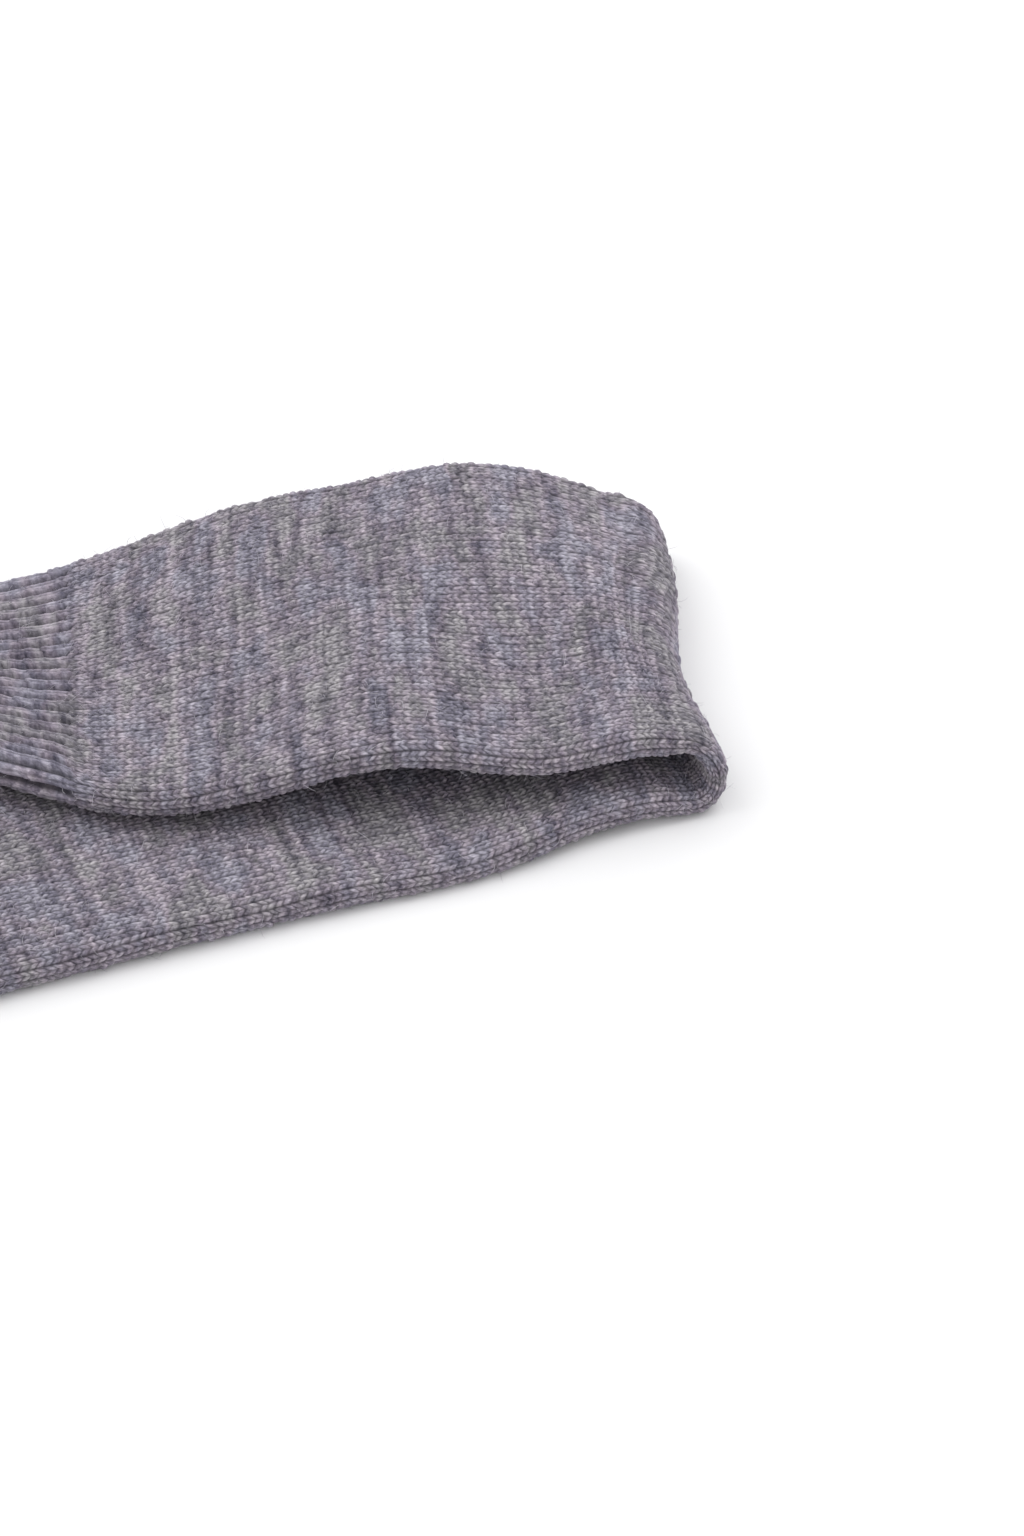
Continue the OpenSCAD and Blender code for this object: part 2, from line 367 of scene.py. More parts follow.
# %% [markdown]
# ## Grids into pieces
# A grid is cut into one mesh for each part that moves, so that a piece can follow one body. All pieces
# take their normals from the whole grid, so that no join shows.
# Each also carries a flat layout of its own grid for baking, and the place of each point along
# and round the yarn for the dyeing.

# %% Mesh maker
GRIDS = {}


def keep_grid(name, points, relief, tone, yarn, hand):
    """Stores a grid under its name. hand says which way round its columns run."""
    GRIDS[name] = dict(points=points, normals=smooth_normals(points, hand), relief=relief,
                       tone=tone, yarn=yarn, hand=hand)
    return GRIDS[name]


def mesh_from(name, co, quads, uv, normals=None, floats=(), vectors=()):
    """A mesh in metres from points in millimetres, with its bake layout and attributes."""
    mesh = bpy.data.meshes.new(name)
    mesh.vertices.add(len(co))
    mesh.vertices.foreach_set("co", (co * MM).astype(np.float32).ravel())
    size = quads.shape[1]
    mesh.loops.add(quads.size)
    mesh.loops.foreach_set("vertex_index", quads.astype(np.int32).ravel())
    mesh.polygons.add(len(quads))
    mesh.polygons.foreach_set("loop_start", np.arange(0, quads.size, size, dtype=np.int32))
    mesh.update(calc_edges=True)
    layer = mesh.uv_layers.new(name="OFBake")
    layer.data.foreach_set("uv", uv.astype(np.float32).ravel())
    for key, values in floats:
        held = mesh.attributes.new(key, "FLOAT", "POINT")
        held.data.foreach_set("value", values.astype(np.float32).ravel())
    for key, values in vectors:
        held = mesh.attributes.new(key, "FLOAT_VECTOR", "POINT")
        held.data.foreach_set("vector", values.astype(np.float32).ravel())
    mesh.shade_smooth()
    if normals is not None:
        mesh.normals_split_custom_set_from_vertices(normals.astype(np.float32))
    piece = bpy.data.objects.new(name, mesh)
    bpy.context.scene.collection.objects.link(piece)
    return piece


def cut_piece(name, grid, mask):
    """The quads of a grid that mask picks, as a piece."""
    points = grid["points"]
    n, m = points.shape[:2]
    i, j = np.nonzero(mask)
    j2 = (j + 1) % m
    corners = np.stack([i * m + j, i * m + j2, (i + 1) * m + j2, (i + 1) * m + j], 1)
    corners = corners[:, ::grid["hand"]]
    used, local = np.unique(corners, return_inverse=True)
    local = local.reshape(corners.shape)
    lo, span = i.min(), i.max() + 1 - i.min()
    u = np.stack([j, j + 1, j + 1, j], 1) / m
    v = np.stack([i, i, i + 1, i + 1], 1) - lo
    uv = np.stack([u, v / span], -1)[:, ::grid["hand"]]
    kept = {key: grid[key].reshape(n * m, -1)[used]
            for key in ("points", "normals", "relief", "tone", "yarn")}
    return mesh_from(name, kept["points"], local, uv, kept["normals"],
                     [("relief", kept["relief"]), ("tone", kept["tone"])],
                     [("yarn", kept["yarn"])])


print("grids kept so far:", len(GRIDS))

# %% [markdown]
# ## The long tube
# Hand, arm and cuff are one grid from the knuckles to the mouth of the cuff, because they are
# knitted as one tube. At the mouth the grid rolls over a soft rim and runs back inside, so the
# cuff has a real inner wall to look at.

# %% Rows of the long tube
RIM_R = 0.8                         # half a rib wall, so the rim is half a circle
INNER_STEP = 1.1
INNER_ROWS = 61                     # the inner wall runs past the rib, out of sight
INNER_FLAT = 0.55                   # its stitches are pressed this much flatter
s_outer = np.arange(TUBE_START, CUFF_END - RIM_R, ROW)
rim_turn = np.radians(np.arange(15, 181, 15))
s_rim = s_outer[-1] + RIM_R * np.sin(rim_turn)
s_inner = s_outer[-1] - np.arange(1, INNER_ROWS + 1) * INNER_STEP
s_rows = np.concatenate([s_outer, s_rim, s_inner])
inset = np.concatenate([0 * s_outer, RIM_R * (1 - np.cos(rim_turn)), 2 * RIM_R + 0 * s_inner])
outer = np.arange(len(s_rows)) < len(s_outer)
rib = eased((s_rows - CUFF_FROM) / 4)
ends = np.where(outer, eased((s_rows - CUFF_END + 4.5) / 3), 1.0)
calm = np.maximum(ends, 1 - eased((s_rows - TUBE_START) / 4))
flat = np.where(outer, 1 - eased((s_rows - TUBE_START) / 3), INNER_FLAT)
s_grid, height, relief, tone = stitch_grid(s_rows, WALES, rib, flat, calm)
turn = rib_turn(WALES, rib)
wander = 0.0016 * np.sin(s_grid / 6.3 + 40 * turn) * (1 - calm[:, None])
s_grid = s_grid + 0.3 * np.sin(turn * 61 + s_grid / 11) * (1 - calm[:, None])
turn = turn + wander
base, over = arm_place(s_grid, turn, inset[:, None])
side = outward(base, -1)
points = base + side * height[..., None]
points[..., 2] = np.maximum(points[..., 2], FLOOR_LEAST)
YARN_R = ARM_W / math.pi            # the yarn's own coordinates run round a plain cylinder
angle = 2 * math.pi * turn + 0 * s_grid
yarn = np.stack([YARN_R * np.cos(angle), YARN_R * np.sin(angle), s_grid], -1)
tube = keep_grid("tube", points, relief, tone, yarn, -1)
print("stitches in the long tube:", WALES * len(s_outer) // ROWS)
print("vertices:", points.shape[0] * points.shape[1])

# %% [markdown]
# ## Cutting the tube where it moves
# The folded stretch is two pieces, since two hinges turn it. The lower half bends from the
# lower stretch to the fold, and the upper half from the fold to the upper stretch. Each takes
# a few millimetres of the flat cloth with it, so that it has room to turn.

# %% Pieces of the long tube
q_right = np.roll(over, -1, 1)
q_face = (over[:-1] + over[1:] + q_right[:-1] + q_right[1:]) / 4
row_s = np.broadcast_to(((s_rows[:-1] + s_rows[1:]) / 2)[:, None], q_face.shape)
is_outer = np.broadcast_to(outer[:-1, None], q_face.shape)
FOLD_MARGIN = 7.0
before = is_outer & (q_face < -FOLD_MARGIN)
hand_s = HAND_X - FOLD_X + 5
wrist_s = WRIST_X - FOLD_X
after = q_face >= TURN + FOLD_MARGIN
masks = {
    "hand_knit": before & (row_s < hand_s),
    "wrist_knit": before & (row_s >= hand_s) & (row_s < wrist_s),
    "arm_lower_knit": before & (row_s >= wrist_s),
    "fold_lower_knit": is_outer & (q_face >= -FOLD_MARGIN) & (q_face < TURN / 2),
    "fold_upper_knit": is_outer & (q_face >= TURN / 2) & ~after,
    "arm_upper_knit": is_outer & after & (row_s < TAPER_FROM),
    "arm_taper_knit": is_outer & after & (row_s >= TAPER_FROM) & (row_s < CUFF_FROM),
    "cuff_rib_knit": (is_outer & (row_s >= CUFF_FROM)) | ~is_outer,
}
PIECES = {}
for key, mask in masks.items():
    PIECES[key] = cut_piece(key, tube, mask)
    print(key, int(mask.sum()), "faces")

# %% [markdown]
# ## Thumb and fingers
# Each digit is a small tube of its own, closed at the tip, that starts a little way inside the
# palm. It is thinner there, so that it comes out of the palm's closed edge without a step. The
# thumb's tube starts further back, inside the palm's side, which makes its gusset.

# %% Digit maker
BURIED_THINNER = 1.6                # how much thinner a digit starts, inside the palm
TIP_R = 0.55                        # radius of the rounded tip, as a share of the width
TIP_BLUNT = 0.85                    # below 1 the tip is blunter than a half circle
TIP_CLOSES = 5                      # its two faces meet over this length
THICKER_TURN = 0.57                 # what a tube's thickness adds to its flat width


def digit_grid(name, root, across, length, width, lead, gusset):
    """A closed tube from lead behind the root to the tip, square to across."""
    across = np.array([across[0], across[1], 0.0])
    ahead = np.array([-across[1], across[0], 0.0])
    r = TIP_R * width
    d_body = np.arange(-lead, length - r, ROW)
    tip_turn = np.linspace(0, math.pi / 2, int(r * 1.57 / ROW))[1:]     # a quarter circle
    d_rows = np.concatenate([d_body, d_body[-1] + r * np.sin(tip_turn)])
    narrow = np.concatenate([1 + 0 * d_body, np.cos(tip_turn) ** TIP_BLUNT])
    w = (width + gusset * eased(-d_rows / 30)) * narrow
    close = np.clip((d_rows - d_rows[-1] + TIP_CLOSES) / TIP_CLOSES, 0, 1)
    t_tip = np.sqrt(np.clip(1 - close ** 2, 0, 1))
    t = (CLOTH_T - BURIED_THINNER * eased(-d_rows / lead)) * t_tip
    wales = 2 * round((width + THICKER_TURN * CLOTH_T) / WALE)
    calm = np.maximum(eased((d_rows - d_rows[-1] + 4) / 4), 1 - eased((d_rows + lead) / 2))
    none = 0 * d_rows
    flat = eased((d_rows - d_rows[-1] + 2.5) / 2.5)
    d, height, relief, tone = stitch_grid(d_rows, wales, none, flat, calm)
    d = np.minimum(d, d_rows[-1])
    turn = (np.arange(wales * COLS) / (wales * COLS))[None, :]
    c, out = flat_oval(w[:, None] + 0 * d, t[:, None] + 0 * d, turn)
    mid = CLOTH_T / 2 + 0.5 * eased((d - 8) / 20) * (1 + np.sin(d / 17))
    points = np.array([root[0], root[1], 0.0]) + across * c[..., None] + ahead * d[..., None]
    points[..., 2] = mid - out
    points = points + outward(points, 1) * height[..., None]
    points[..., 2] = np.maximum(points[..., 2], FLOOR_LEAST)
    angle = 2 * math.pi * turn + 0 * d
    radius = width / math.pi
    yarn = np.stack([radius * np.cos(angle) + 90, radius * np.sin(angle), d + root[1] * 9], -1)
    return keep_grid(name, points, relief, tone, yarn, 1), d_rows


print("a digit's tube starts", BURIED_THINNER, "mm thinner than the palm")

# %% Digits
DIGITS = {                          # joint at the root, length and flat width
    "index_finger": ("index_bend", 72.0, 22.0),
    "middle_finger": ("middle_bend", 80.0, 22.0),
    "ring_finger": ("ring_bend", 74.0, 22.0),
    "little_finger": ("little_bend", 58.0, 19.0),
    "thumb": ("thumb_bend", 56.0, 24.0),
}
THUMB_LEAD, FINGER_LEAD = 48.0, 6.0
THUMB_GUSSET = 4.0                  # how much wider the thumb's tube starts
GUSSET_END = -4                     # where the gusset ends, from the thumb's joint
for key, (joint, length, width) in DIGITS.items():
    lead = THUMB_LEAD if key == "thumb" else FINGER_LEAD
    gusset = THUMB_GUSSET if key == "thumb" else 0.0
    axis = JOINTS[joint]["axis"]
    grid, d_rows = digit_grid(key, joint_mm(joint), axis, length, width, lead, gusset)
    n, m = grid["points"].shape[:2]
    d_face = np.broadcast_to(((d_rows[:-1] + d_rows[1:]) / 2)[:, None], (n - 1, m))
    if key == "thumb":
        PIECES["gusset_knit"] = cut_piece("gusset_knit", grid, d_face < GUSSET_END)
        PIECES["thumb_knit"] = cut_piece("thumb_knit", grid, d_face >= GUSSET_END)
    else:
        PIECES[key + "_knit"] = cut_piece(key + "_knit", grid, d_face >= -lead)
    print(key, n, "rows", m, "columns")

# %% [markdown]
# ## Elastic in the cuff
# A few bare rounds of elastic yarn lie inside the rib and draw it in. Each is a thin closed
# ring that follows the inner wall wherever the cuff has settled.

# %% Elastic rounds
ROUNDS = 6
YARN_SIDES = 8
RING_POINTS = 220
ELASTIC_R = 0.35
ELASTIC_INSET = 1.75                # its middle lies just inside the inner wall


def ring_tube(centre, radius, sides):
    """Vertices of a tube round a closed line of points."""
    ahead = np.roll(centre, -1, 0) - np.roll(centre, 1, 0)
    ahead /= np.linalg.norm(ahead, axis=1, keepdims=True)
    lift = np.cross(ahead, [0, 0, 1.0])
    lift = np.where(np.linalg.norm(lift, axis=1, keepdims=True) > 1e-3, lift, [1.0, 0, 0])
    lift /= np.linalg.norm(lift, axis=1, keepdims=True)
    third = np.cross(ahead, lift)
    a = 2 * math.pi * np.arange(sides) / sides
    co = (centre[:, None] + radius * (np.cos(a)[None, :, None] * lift[:, None]
                                      + np.sin(a)[None, :, None] * third[:, None]))
    return co.reshape(-1, 3)


ring_co, ring_quads, ring_uv = [], [], []
i, j = np.meshgrid(np.arange(RING_POINTS), np.arange(YARN_SIDES), indexing="ij")
i, j = i.ravel(), j.ravel()
i2, j2 = (i + 1) % RING_POINTS, (j + 1) % YARN_SIDES
one = np.stack([i * YARN_SIDES + j, i2 * YARN_SIDES + j, i2 * YARN_SIDES + j2,
                i * YARN_SIDES + j2], 1)
around = np.arange(RING_POINTS) / RING_POINTS
u = np.stack([i, i + 1, i + 1, i], 1) / RING_POINTS
v = np.stack([j, j, j + 1, j + 1], 1) / YARN_SIDES
for k in range(ROUNDS):
    s_ring = CUFF_FROM + (k + 1) * CUFF_LEN / (ROUNDS + 1)
    centre, _ = arm_place(np.full(RING_POINTS, s_ring), around, ELASTIC_INSET)
    ring_co.append(ring_tube(centre, ELASTIC_R, YARN_SIDES))
    ring_quads.append(one + k * RING_POINTS * YARN_SIDES)
    ring_uv.append(np.stack([u, (k + v) / ROUNDS], -1))
PIECES["elastic_yarn_rounds"] = mesh_from("elastic_yarn_rounds", np.concatenate(ring_co),
                                          np.concatenate(ring_quads), np.concatenate(ring_uv))
print("elastic rounds:", ROUNDS)

# %% [markdown]
# ## Stray fibres
# Spun yarn is hairy. Short loose fibres lie along the surface and stand up a little at its
# edges, which softens the outline of a knitted thing more than any shading does. Each fibre is
# a thin closed hair with three sides that tapers to its tip.

# %% Fibre maker
FIBRE_R = 0.04
FIBRES_PER_MM2 = 0.2
FIBRE_LONGEST = 3.0
FIBRE_STAND = 0.55                  # how steeply fibres stand up, most of them less
FIBRE_BEND = 0.5
HAIR_SIDES, HAIR_RINGS = 3, 4
HAIR_POINTS = HAIR_SIDES * HAIR_RINGS


def fibres_for(piece_name, grid, mask):
    """Closed hairs with one end in the cloth, on the faces of a grid that mask picks."""
    points, normals = grid["points"], grid["normals"]
    i, j = np.nonzero(mask)
    area = len(i) * ROW * WALE / COLS
    count = int(area * FIBRES_PER_MM2)
    pick = rng.integers(0, len(i), count)
    i, j = i[pick], j[pick]
    p = points[i, j]
    n = normals[i, j]
    ahead = points[i + 1, j] - p
    ahead /= np.maximum(np.linalg.norm(ahead, axis=1, keepdims=True), 1e-9)
    across = np.cross(n, ahead)
    way = rng.uniform(0, 2 * math.pi, count)[:, None]
    flat_way = np.cos(way) * ahead + np.sin(way) * across
    length = np.minimum(rng.gamma(2.2, 0.62, count), FIBRE_LONGEST)[:, None]
    stand = np.abs(rng.normal(0.0, FIBRE_STAND, count))[:, None]
    bend = rng.normal(0, FIBRE_BEND, count)[:, None]
    side_way = np.cross(n, flat_way)
    centre = []
    for t in (0.0, 0.35, 0.7, 1.0):
        along = flat_way * t + side_way * bend * t * t
        root_in = 0.05 * (t < 0.1)
        centre.append(p + length * (along + n * stand * (t - 0.45 * t * t)) - n * root_in)
    centre = np.stack(centre, 1)
    centre[..., 2] = np.maximum(centre[..., 2], 2 * FIBRE_R)
    thin = FIBRE_R * np.array([1.0, 1.0, 0.8, 0.35])
    a = 2 * math.pi * np.arange(HAIR_SIDES) / HAIR_SIDES
    ring = np.cos(a)[:, None, None] * n + np.sin(a)[:, None, None] * side_way
    co = centre[:, :, None] + thin[None, :, None, None] * ring.transpose(1, 0, 2)[:, None]
    quads = []
    local = []
    for k in range(HAIR_RINGS - 1):
        for e in range(HAIR_SIDES):
            f = (e + 1) % HAIR_SIDES
            low, high = k * HAIR_SIDES, (k + 1) * HAIR_SIDES
            quads.append([low + e, low + f, high + f, high + e])
            local.append([[e, k], [e + 1, k], [e + 1, k + 1], [e, k + 1]])
    first_point = HAIR_POINTS * np.arange(count)
    quads = (np.array(quads)[None] + first_point[:, None, None]).reshape(-1, 4)
    cells = math.ceil(math.sqrt(count))
    cell = np.stack([np.arange(count) % cells, np.arange(count) // cells], 1) / cells
    local = np.array(local) / HAIR_SIDES * 0.9 + 0.05       # a margin round each fibre's cell
    uv = cell[:, None, None] + local[None] / cells
    shade = np.repeat(rng.random(count), HAIR_POINTS)
    return mesh_from(piece_name, co.reshape(-1, 3), quads, uv, None, [("tone", shade)])


print("a fibre is", 2 * FIBRE_R, "mm thick and at most", FIBRE_LONGEST, "mm long")

# %% Fibres
HAIR = {}
for key, mask in masks.items():
    HAIR[key] = fibres_for(key.replace("knit", "fibres"), tube, mask & is_outer)
for key in DIGITS:
    grid = GRIDS[key]
    n, m = grid["points"].shape[:2]
    rows = np.broadcast_to(np.arange(n - 1)[:, None], (n - 1, m))
    first = (THUMB_LEAD + GUSSET_END) / ROW if key == "thumb" else 0
    if key == "thumb":
        HAIR["gusset_knit"] = fibres_for("gusset_fibres", grid, rows < first)
    HAIR[key + "_knit"] = fibres_for(key + "_fibres", grid, rows >= first)
print("fibres:", sum(len(o.data.vertices) // HAIR_POINTS for o in HAIR.values()))

# %% [markdown]
# ## Materials
# The yarn is a heather: undyed, grey and slate fibres of wool and acrylic carded together before
# spinning, so the colour changes in flecks along each leg of a stitch and in soft streaks along
# the courses. It has no gloss, only the pale sheen of loose fibre seen at a low angle.

# %% Material helpers
def srgb(code):
    """An sRGB hex colour as linear numbers."""
    parts = [int(code[k:k + 2], 16) / 255 for k in (1, 3, 5)]
    return [c / 12.92 if c <= 0.04045 else ((c + 0.055) / 1.055) ** 2.4 for c in parts] + [1.0]


def add_node(tree, kind, settings=(), inputs=(), links=()):
    """One node with its settings, its socket values and its incoming links."""
    node = tree.nodes.new(kind)
    for key, value in dict(settings).items():
        setattr(node, key, value)
    for key, value in dict(inputs).items():
        node.inputs[key].default_value = value
    for key, socket in dict(links).items():
        tree.links.new(socket, node.inputs[key])
    return node


def new_material(name):
    material = bpy.data.materials.new(name)
    material.use_nodes = True
    material.node_tree.nodes.clear()
    return material, material.node_tree


print("#808080 in linear light:", round(srgb("#808080")[0], 3))

# %% [markdown]
# ## Heather yarn
# Streaks are drawn in the yarn's own coordinates: 28 mm long round the tube and 2.4 mm along it,
# because one length of yarn lies in one course. Wider patches, 14 by 7 mm, lean to blue, red or
# yellow grey, as the carded fibres do. Flecks are 0.9 mm, about the length of a leg. The finest
# grain is strands 0.2 mm thick and 0.8 mm long, some ten times as thick as a real fibre, because
# a real one is too fine to show.
# The colour is also painted darker in the grooves of the stitches and a little lighter on their tops,
# from each point's relief: painted shade and painted light.

# %% Sizes of the yarn's pattern
STREAK_MM = (28, 2.4)               # round the tube, and along it
PATCH_MM = (14, 7)
STRAND_MM = (0.2, 0.8)              # across the strand, and along it
FLECK_MM = 0.9


def per_mm(across, along):
    """A mapping's scale that makes one unit of noise this large."""
    return (1 / across, 1 / across, 1 / along)


print("streaks", STREAK_MM, "patches", PATCH_MM, "flecks", FLECK_MM, "strands", STRAND_MM)


# %% Heather jersey and rib
def heather(name, dark, mid, light, bump):
    material, tree = new_material(name)
    yarn = add_node(tree, "ShaderNodeAttribute", {"attribute_name": "yarn"})
    relief = add_node(tree, "ShaderNodeAttribute", {"attribute_name": "relief"})
    tone = add_node(tree, "ShaderNodeAttribute", {"attribute_name": "tone"})
    along = add_node(tree, "ShaderNodeMapping", inputs={"Scale": per_mm(*STREAK_MM)},
                     links={"Vector": yarn.outputs["Vector"]})
    streak = add_node(tree, "ShaderNodeTexNoise", inputs={"Scale": 1.0, "Detail": 3.0,
                      "Roughness": 0.6}, links={"Vector": along.outputs[0]})
    patch = add_node(tree, "ShaderNodeMapping", inputs={"Scale": per_mm(*PATCH_MM),
                     "Location": (5.0, 3.0, 9.0)}, links={"Vector": yarn.outputs["Vector"]})
    tint = add_node(tree, "ShaderNodeTexNoise", inputs={"Scale": 1.0, "Detail": 2.0},
                    links={"Vector": patch.outputs[0]})
    fleck = add_node(tree, "ShaderNodeTexNoise", inputs={"Scale": 1 / FLECK_MM, "Detail": 3.0,
                     "Roughness": 0.65}, links={"Vector": yarn.outputs["Vector"]})
    strands = add_node(tree, "ShaderNodeMapping", inputs={"Scale": per_mm(*STRAND_MM)},
                       links={"Vector": yarn.outputs["Vector"]})
    grain = add_node(tree, "ShaderNodeTexNoise", inputs={"Scale": 1.0, "Detail": 2.0},
                     links={"Vector": strands.outputs[0]})
    streaked = add_node(tree, "ShaderNodeMath", {"operation": "MULTIPLY_ADD"},
                        {1: 0.55, 2: -0.07}, {0: streak.outputs["Fac"]})
    flecked = add_node(tree, "ShaderNodeMath", {"operation": "MULTIPLY_ADD"},
                       {1: 0.42}, {0: fleck.outputs["Fac"], 2: streaked.outputs[0]})
    mixed = add_node(tree, "ShaderNodeMath", {"operation": "MULTIPLY_ADD"},
                     {1: 0.19}, {0: tone.outputs["Fac"], 2: flecked.outputs[0]})
    ramp = add_node(tree, "ShaderNodeValToRGB", links={"Fac": mixed.outputs[0]})
    stops = ramp.color_ramp.elements
    stops[0].position, stops[0].color = 0.32, srgb(dark)
    stops[1].position, stops[1].color = 0.68, srgb(light)
    stops.new(0.48).color = srgb(mid)
    tints = add_node(tree, "ShaderNodeValToRGB", links={"Fac": tint.outputs["Fac"]})
    marks = tints.color_ramp.elements
    marks[0].position, marks[0].color = 0.38, srgb("#bdbec3")
    marks[1].position, marks[1].color = 0.62, srgb("#bfbfba")
    marks.new(0.50).color = srgb("#c4bdc0")
    tinted = add_node(tree, "ShaderNodeMix", {"data_type": "RGBA", "blend_type": "MULTIPLY"},
                      {"Factor": 1.0}, {6: ramp.outputs["Color"], 7: tints.outputs["Color"]})
    # Painted shade and painted light: the colour is darkened where the stitch relief is low, down to
    # 0.30 at the bottom of the grooves between legs, courses and rib wales, and lightened up to 1.15
    # on the tops of the legs.
    low = add_node(tree, "ShaderNodeMapRange", inputs={"From Min": 0.0, "From Max": 0.75,
                   "To Min": 0.30, "To Max": 1.15}, links={"Value": relief.outputs["Fac"]})
    pale = add_node(tree, "ShaderNodeMapRange", inputs={"From Min": 0.3, "From Max": 0.7,
                    "To Min": 0.70, "To Max": 1.30}, links={"Value": grain.outputs["Fac"]})
    # The painted groove shade and leg-top light, times the strands' own grain of tone.
    groove_shade_and_grain = add_node(tree, "ShaderNodeMath", {"operation": "MULTIPLY"},
                     links={0: low.outputs[0], 1: pale.outputs[0]})
    groove_shaded_colour = add_node(tree, "ShaderNodeVectorMath", {"operation": "SCALE"},
                    links={0: tinted.outputs[2], "Scale": groove_shade_and_grain.outputs[0]})
    rough = add_node(tree, "ShaderNodeBump", inputs={"Strength": bump, "Distance": 0.0002},
                     links={"Height": grain.outputs["Fac"]})
    shader = add_node(tree, "ShaderNodeBsdfPrincipled",
                      inputs={"Roughness": 0.92, "IOR": 1.5, "Specular IOR Level": 0.25,
                              "Sheen Weight": 0.22, "Sheen Roughness": 0.55,
                              "Sheen Tint": srgb("#d9d6e4")},
                      links={"Base Color": groove_shaded_colour.outputs[0], "Normal": rough.outputs[0]})
    add_node(tree, "ShaderNodeOutputMaterial", links={"Surface": shader.outputs[0]})
    return material


JERSEY = heather("jersey_knit_heather_wool_and_acrylic", "#6e6b7a", "#aba6b2", "#e2dde6", 0.5)
RIB = heather("rib_knit_heather_wool_and_acrylic", "#6a6776", "#a39eab", "#dad5df", 0.5)
print("made", JERSEY.name, "and", RIB.name)

# %% [markdown]
# ## Elastic and loose fibre
# The elastic is covered rubber, pale, with the fine twist of its covering. Loose fibres are the
# same wool as the yarn, and look paler because light goes through a single one.

# %% Elastic and fibre
def elastic_material():
    material, tree = new_material("covered_elastic_yarn")
    place = add_node(tree, "ShaderNodeTexCoord")
    twist = add_node(tree, "ShaderNodeTexWave", {"wave_type": "BANDS"},
                     {"Scale": 900.0, "Distortion": 1.5}, {"Vector": place.outputs["Object"]})
    ramp = add_node(tree, "ShaderNodeValToRGB", links={"Fac": twist.outputs["Fac"]})
    ramp.color_ramp.elements[0].color = srgb("#b3b0aa")
    ramp.color_ramp.elements[1].color = srgb("#d8d5ce")
    bump = add_node(tree, "ShaderNodeBump", inputs={"Strength": 0.3, "Distance": 0.0001},
                    links={"Height": twist.outputs["Fac"]})
    shader = add_node(tree, "ShaderNodeBsdfPrincipled", inputs={"Roughness": 0.65, "IOR": 1.52},
                      links={"Base Color": ramp.outputs["Color"], "Normal": bump.outputs[0]})
    add_node(tree, "ShaderNodeOutputMaterial", links={"Surface": shader.outputs[0]})
    return material


def fibre_material():
    material, tree = new_material("loose_wool_fibre")
    tone = add_node(tree, "ShaderNodeAttribute", {"attribute_name": "tone"})
    ramp = add_node(tree, "ShaderNodeValToRGB", links={"Fac": tone.outputs["Fac"]})
    ramp.color_ramp.elements[0].color = srgb("#77737f")
    ramp.color_ramp.elements[1].color = srgb("#d6d2da")
    shader = add_node(tree, "ShaderNodeBsdfPrincipled",
                      inputs={"Roughness": 0.7, "IOR": 1.55, "Sheen Weight": 0.3},
                      links={"Base Color": ramp.outputs["Color"]})
    add_node(tree, "ShaderNodeOutputMaterial", links={"Surface": shader.outputs[0]})
    return material


ELASTIC = elastic_material()
FIBRE = fibre_material()
print("made", ELASTIC.name, "and", FIBRE.name)

# %% [markdown]
# ## What each piece stands for and how it moves
# Flat stretches ride on their own body. A piece at a hinge, which takes a few millimetres from before
# the hinge to after it, is only fixed where it lies and follows neither body.

# %% Rides
def at_mm(x, y, z):
    return (x * MM, y * MM, z * MM)


def attach(key, material, nodes, bodies):
    """A knitted piece and its fibres ride on one body; with two bodies they are only fixed where they
    lie.
    """
    for piece, finish in ((PIECES[key], material), (HAIR.get(key), FIBRE)):
        if piece is None:
            continue
        piece.data.materials.append(finish)
        if len(bodies) == 1:
            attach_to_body(piece, bodies[0])
        else:
            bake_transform(piece)
    if nodes:
        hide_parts(*nodes)


attach("arm_lower_knit", JERSEY, ["arm_lower"], ["lower_arm"])
attach("wrist_knit", JERSEY, ["wrist_section"], ["lower_arm"])
attach("fold_lower_knit", JERSEY, ["arm_fold"], ["lower_arm", "fold"])
attach("fold_upper_knit", JERSEY, [], ["fold", "upper_arm"])
attach("arm_upper_knit", JERSEY, ["arm_upper"], ["upper_arm"])
attach("arm_taper_knit", JERSEY, ["arm_taper"], ["upper_arm"])
attach("cuff_rib_knit", RIB, ["cuff_rib"], ["upper_arm"])
attach("elastic_yarn_rounds", ELASTIC, ["cuff_elastic"], ["upper_arm"])
attach("hand_knit", JERSEY, ["hand"], ["lower_arm", "hand"])
attach("gusset_knit", JERSEY, ["thumb_gusset"], ["hand"])
for key, (joint, length, width) in DIGITS.items():
    root, axis = joint_mm(joint), JOINTS[joint]["axis"]
    attach(key + "_knit", JERSEY, [key], ["hand", key])
print("pieces attached:", len(PIECES) + len(HAIR))

# %% [markdown]
# ## Floor, light and camera
# The floor is plain and nearly white. One very wide soft light comes from behind on the left, so
# the shadow falls to the right and toward the eye. A small weak light over the right side keeps
# that side from going dull, and a bright even sky fills the rest.

# %% Floor
FLOOR_HALF = 4.0                    # metres, far past the edges of the view
floor_mesh = bpy.data.meshes.new("floor")
corners = [(x * FLOOR_HALF, y * FLOOR_HALF, 0) for x, y in ((-1, -1), (1, -1), (1, 1), (-1, 1))]
floor_mesh.from_pydata(corners, [], [(0, 1, 2, 3)])
floor = bpy.data.objects.new("floor", floor_mesh)
bpy.context.scene.collection.objects.link(floor)
paper, tree = new_material("matt_white_paper")
shader = add_node(tree, "ShaderNodeBsdfPrincipled",
                  inputs={"Base Color": srgb("#eeeeee"), "Roughness": 0.95, "Specular IOR Level": 0.1})
add_node(tree, "ShaderNodeOutputMaterial", links={"Surface": shader.outputs[0]})
floor_mesh.materials.append(paper)
print("floor", 2 * FLOOR_HALF, "m wide")


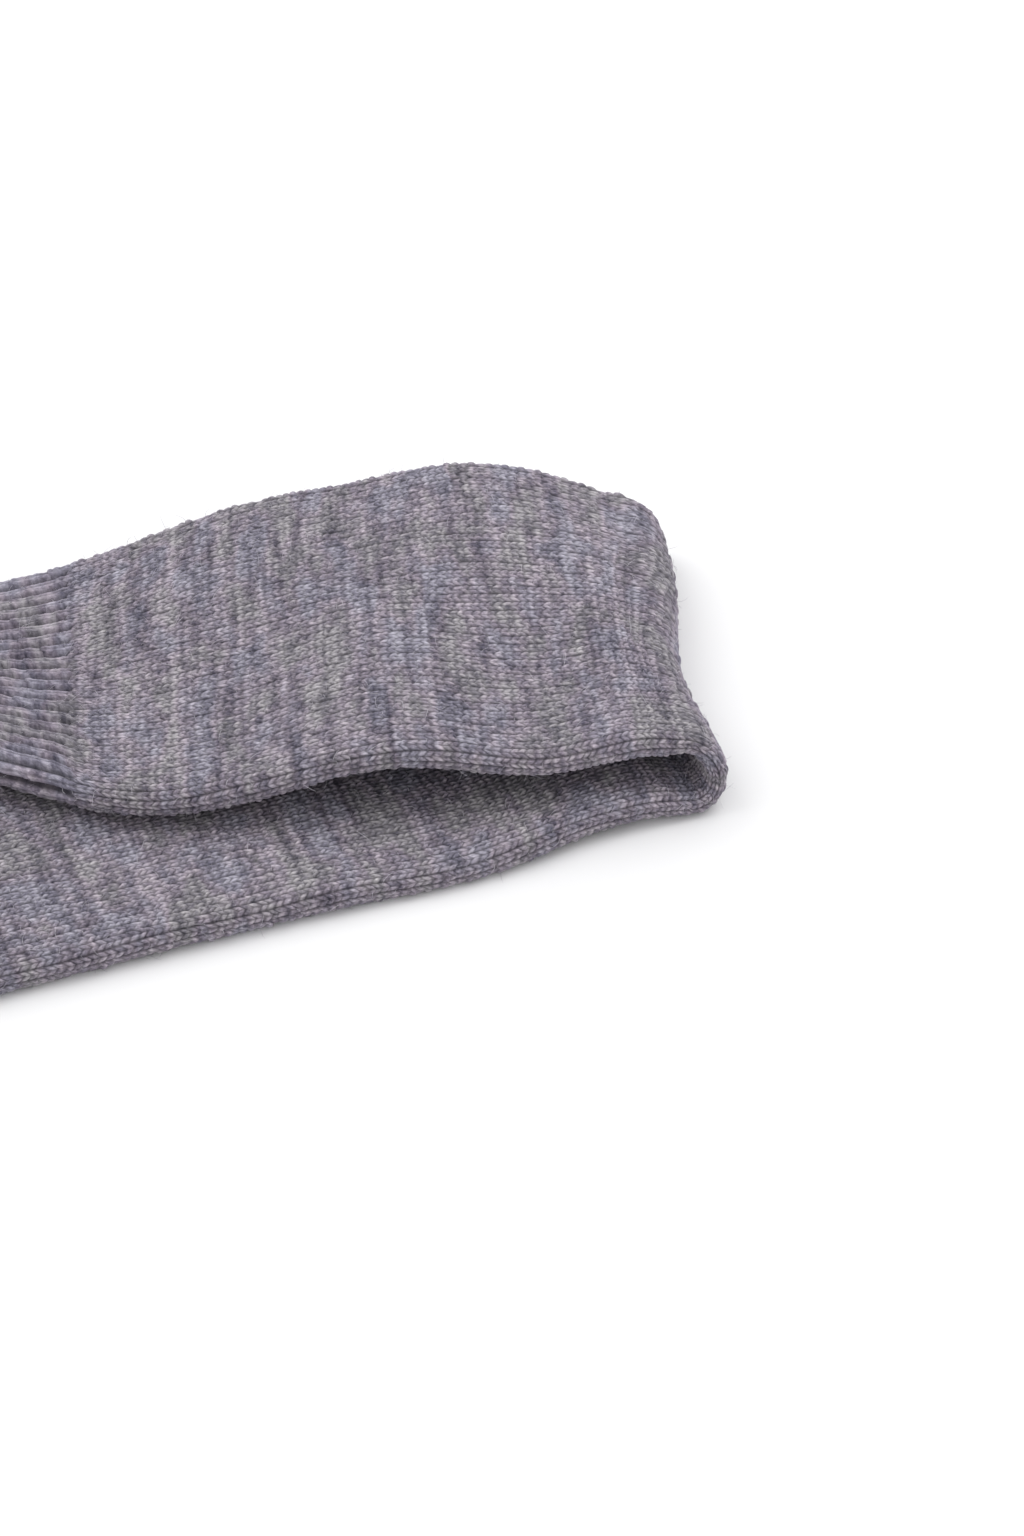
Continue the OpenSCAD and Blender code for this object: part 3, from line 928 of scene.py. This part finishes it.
# %% Light
def soft_light(name, place, aim, size, power, colour):
    """A round lamp of size metres across that faces aim."""
    light = bpy.data.lights.new(name, "AREA")
    light.shape = "DISK"
    light.size = size
    light.energy = power
    light.color = srgb(colour)[:3]
    lamp = bpy.data.objects.new(name, light)
    lamp.location = place
    lamp.rotation_euler = (Vector(aim) - Vector(place)).to_track_quat("-Z", "Y").to_euler()
    bpy.context.scene.collection.objects.link(lamp)
    return lamp


soft_light("key", (-0.95, 0.85, 1.2), (0.0, 0.0, 0.0), 1.9, 12.5, "#ffffff")
soft_light("fill", (0.3, 0.0, 0.45), (0.05, 0.0, 0.0), 0.35, 0.8, "#fdfdff")
world = bpy.data.worlds.new("even_sky")
world.use_nodes = True
world.node_tree.nodes.clear()
sky = add_node(world.node_tree, "ShaderNodeBackground",
               inputs={"Color": srgb("#fdfdfe"), "Strength": 0.9})
add_node(world.node_tree, "ShaderNodeOutputWorld", links={"Surface": sky.outputs[0]})
bpy.context.scene.world = world
bpy.context.scene.view_settings.view_transform = "Standard"
print("lamps:", [lamp.name for lamp in bpy.data.lights])

# %% Camera
TILT, SWING, ROLL = math.radians(40.6), math.radians(-18.5), math.radians(-1.8)
AIM = at_mm(FOLD_X - 36.6, -14.6, 0)                   # on the floor, under the upper stretch
DISTANCE = 0.7567
LENS = 86.4
level = math.cos(TILT)
look = Vector((-math.sin(SWING) * level, math.cos(SWING) * level, -math.sin(TILT)))
side = Vector((math.cos(SWING), math.sin(SWING), 0))
rise = side.cross(look)
right = side * math.cos(ROLL) + rise * math.sin(ROLL)
up = rise * math.cos(ROLL) - side * math.sin(ROLL)
eye = Vector(AIM) - look * DISTANCE
camera = bpy.data.cameras.new("camera")
camera.lens = LENS
camera.sensor_width = 36.0
camera.clip_start = 0.01
viewer = bpy.data.objects.new("camera", camera)
bpy.context.scene.collection.objects.link(viewer)
basis = Matrix((right, up, -look)).transposed()
viewer.matrix_world = Matrix.Translation(eye) @ basis.to_4x4()
bpy.context.scene.camera = viewer
print("camera at", [round(c / MM) for c in eye], "mm")

# %% Update the scene
bpy.context.view_layer.update()
